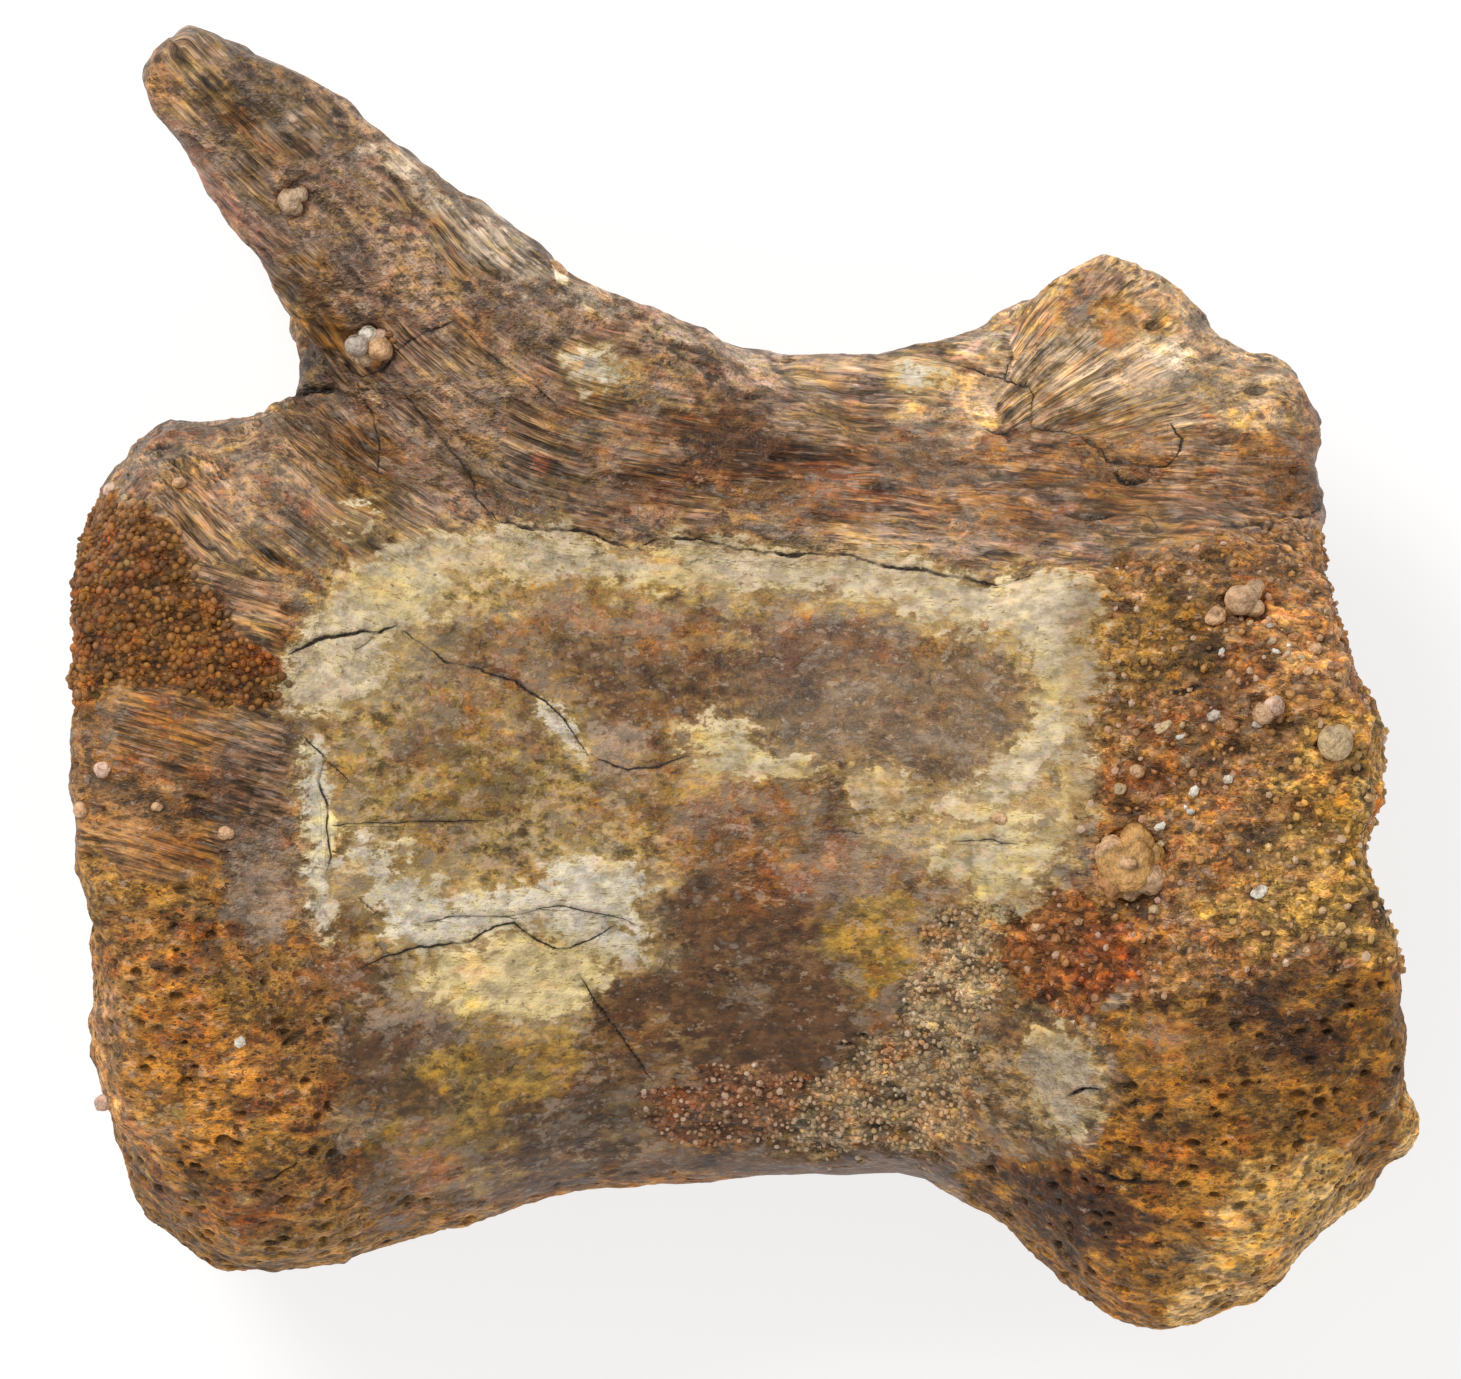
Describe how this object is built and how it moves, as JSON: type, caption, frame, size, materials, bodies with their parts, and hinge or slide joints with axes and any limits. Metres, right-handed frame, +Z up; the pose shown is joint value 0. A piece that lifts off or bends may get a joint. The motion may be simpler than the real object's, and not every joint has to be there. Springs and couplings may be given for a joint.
{
  "type": "fossil tail vertebra of a large meat-eating dinosaur",
  "caption": "Life-size fossil dinosaur tail vertebra: spool-shaped centrum, neural arch, two long front processes and a broken neural spine, lying on its side with quartz pebbles stuck to it.",
  "frame": {"origin": "on the floor, under the centre of the bounding box, where the bone rests on its right side", "axes": "+X along the bone to its rear face, +Y up the bone from its belly to its neural arch, +Z up off the floor, out of the bone's left side"},
  "size_m": [0.1115, 0.1084, 0.0618],
  "materials": {
    "fossil_bone": "rough mineralised bone, brown with cream, ochre and rust stains",
    "quartz": "worn translucent quartz, slightly glossy"
  },
  "bodies": {
    "root": {"vertebra": "fossil_bone", "pebble_arch_root": "quartz", "pebble_front_process": "quartz", "pebble_rear_upper": "quartz", "pebble_rear_middle": "quartz", "pebble_rear_rim": "quartz", "nodule_rear_lower": "quartz"}
  },
  "joints": []
}
